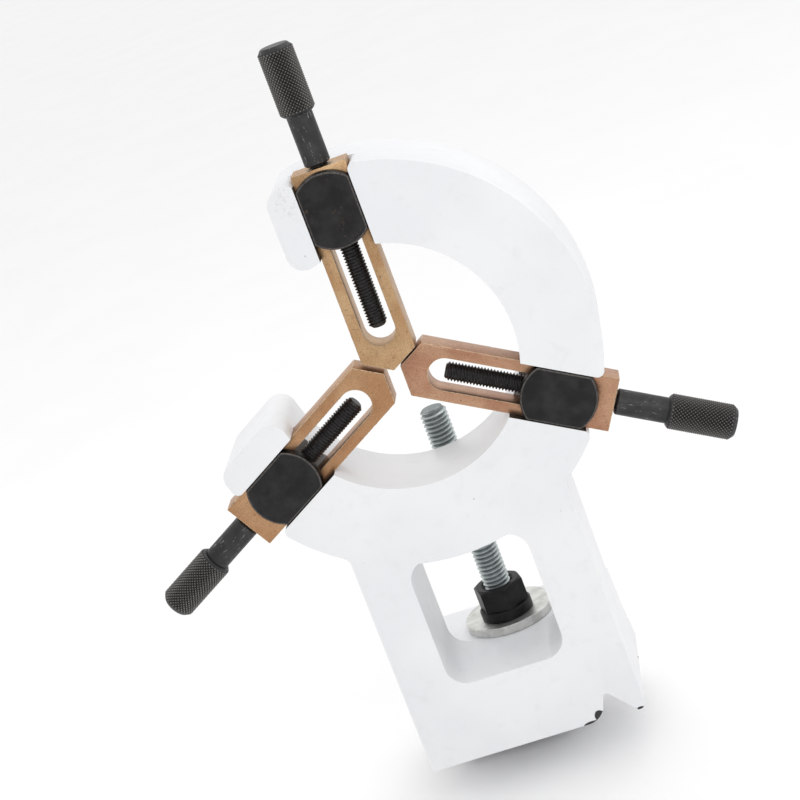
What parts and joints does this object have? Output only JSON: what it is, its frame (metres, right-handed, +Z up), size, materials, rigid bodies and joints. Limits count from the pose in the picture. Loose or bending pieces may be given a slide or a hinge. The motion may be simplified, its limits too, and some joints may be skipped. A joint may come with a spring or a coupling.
{
  "type": "lathe steady rest",
  "caption": "Open cast ring on a foot with radial screw-fed bronze fingers that steady a long workpiece on a lathe bed; a bolt, collar nut and plate clamp it to the bed.",
  "frame": {"origin": "on the flat of the foot that rests on the lathe bed, straight under the work axis, at the middle of the ring's thickness", "axes": "+Z up from the bed, +Y along the work axis towards the bed clamp's side, +X towards the vee side of the foot"},
  "size_m": [0.2023, 0.0642, 0.2651],
  "materials": {
    "cast_paint": "pale grey machine enamel over cast iron",
    "bronze": "machined bearing bronze, lightly tarnished",
    "black_steel": "black oxide",
    "bright_steel": "bright turned and plated steel",
    "zinc_steel": "zinc plated thread",
    "machined_steel": "plain machined bar"
  },
  "bodies": {
    "frame": {"casting": "cast_paint", "top_clamp_washer": "bright_steel", "right_clamp_washer": "bright_steel", "left_clamp_washer": "bright_steel", "bed_washer": "bright_steel"},
    "top_clamp_stud": {"top_clamp_stud": "black_steel"},
    "top_clamp_nut": {"top_clamp_nut": "bright_steel"},
    "top_finger": {"top_finger": "bronze"},
    "top_adjusting_screw": {"top_adjusting_screw": "black_steel", "top_retaining_clip": "bright_steel"},
    "right_clamp_stud": {"right_clamp_stud": "black_steel"},
    "right_clamp_nut": {"right_clamp_nut": "bright_steel"},
    "right_finger": {"right_finger": "bronze"},
    "right_adjusting_screw": {"right_adjusting_screw": "black_steel", "right_retaining_clip": "bright_steel"},
    "left_clamp_stud": {"left_clamp_stud": "black_steel"},
    "left_clamp_nut": {"left_clamp_nut": "bright_steel"},
    "left_finger": {"left_finger": "bronze"},
    "left_adjusting_screw": {"left_adjusting_screw": "black_steel", "left_retaining_clip": "bright_steel"},
    "bed_nut": {"bed_nut": "black_steel"},
    "bed_bolt": {"bed_bolt": "zinc_steel"},
    "bed_clamp_plate": {"bed_clamp_plate": "machined_steel"}
  },
  "joints": [
    {"name": "top_clamp_nut_turn", "type": "hinge", "parent": "frame", "child": "top_clamp_nut", "pos_m": [0, 0.021, 0.1947], "axis": [0, 1, 0], "range_deg": [0, 181]},
    {"name": "top_clamp_stud_slide", "type": "slide", "parent": "frame", "child": "top_clamp_stud", "axis": [0, -1, 0], "range_m": [0, 0.000706]},
    {"name": "top_finger_slide", "type": "slide", "parent": "top_clamp_stud", "child": "top_finger", "axis": [0, 0, 1], "range_m": [0, 0.03387]},
    {"name": "top_screw_turn", "type": "hinge", "parent": "top_finger", "child": "top_adjusting_screw", "pos_m": [0, -0.0086, 0.23], "axis": [0, 0, 1], "range_deg": [0, 11522]},
    {"name": "right_clamp_nut_turn", "type": "hinge", "parent": "frame", "child": "right_clamp_nut", "pos_m": [0.04737, 0.021, 0.11265], "axis": [0, 1, 0], "range_deg": [0, 181]},
    {"name": "right_clamp_stud_slide", "type": "slide", "parent": "frame", "child": "right_clamp_stud", "axis": [0, -1, 0], "range_m": [0, 0.000706]},
    {"name": "right_finger_slide", "type": "slide", "parent": "right_clamp_stud", "child": "right_finger", "axis": [0.866, 0, -0.5], "range_m": [0, 0.03387]},
    {"name": "right_screw_turn", "type": "hinge", "parent": "right_finger", "child": "right_adjusting_screw", "pos_m": [0.07794, -0.0086, 0.095], "axis": [0.866, 0, -0.5], "range_deg": [0, 11522]},
    {"name": "left_clamp_nut_turn", "type": "hinge", "parent": "frame", "child": "left_clamp_nut", "pos_m": [-0.04737, 0.021, 0.11265], "axis": [0, 1, 0], "range_deg": [0, 181]},
    {"name": "left_clamp_stud_slide", "type": "slide", "parent": "frame", "child": "left_clamp_stud", "axis": [0, -1, 0], "range_m": [0, 0.000706]},
    {"name": "left_finger_slide", "type": "slide", "parent": "left_clamp_stud", "child": "left_finger", "axis": [-0.866, 0, -0.5], "range_m": [0, 0.03387]},
    {"name": "left_screw_turn", "type": "hinge", "parent": "left_finger", "child": "left_adjusting_screw", "pos_m": [-0.07794, -0.0086, 0.095], "axis": [-0.866, 0, -0.5], "range_deg": [0, 11522]},
    {"name": "bed_nut_turn", "type": "hinge", "parent": "frame", "child": "bed_nut", "pos_m": [0.0015, 0.0256, 0.037], "axis": [0, 0, 1], "range_deg": [0, 5582]},
    {"name": "bed_bolt_slide", "type": "slide", "parent": "frame", "child": "bed_bolt", "axis": [0, 0, -1], "range_m": [0, 0.02461]},
    {"name": "bed_clamp_swivel", "type": "hinge", "parent": "bed_bolt", "child": "bed_clamp_plate", "pos_m": [0.0015, 0.0256, -0.007], "axis": [0, 0, 1], "range_deg": [-90, 90]}
  ],
  "couplings": [
    {"joint": "top_clamp_nut_turn", "follows": "top_clamp_stud_slide", "rad_per_m": 4452.7},
    {"joint": "top_screw_turn", "follows": "top_finger_slide", "rad_per_m": 5936.9},
    {"joint": "right_clamp_nut_turn", "follows": "right_clamp_stud_slide", "rad_per_m": 4452.7},
    {"joint": "right_screw_turn", "follows": "right_finger_slide", "rad_per_m": 5936.9},
    {"joint": "left_clamp_nut_turn", "follows": "left_clamp_stud_slide", "rad_per_m": 4452.7},
    {"joint": "left_screw_turn", "follows": "left_finger_slide", "rad_per_m": 5936.9},
    {"joint": "bed_nut_turn", "follows": "bed_bolt_slide", "rad_per_m": 3957.9}
  ]
}
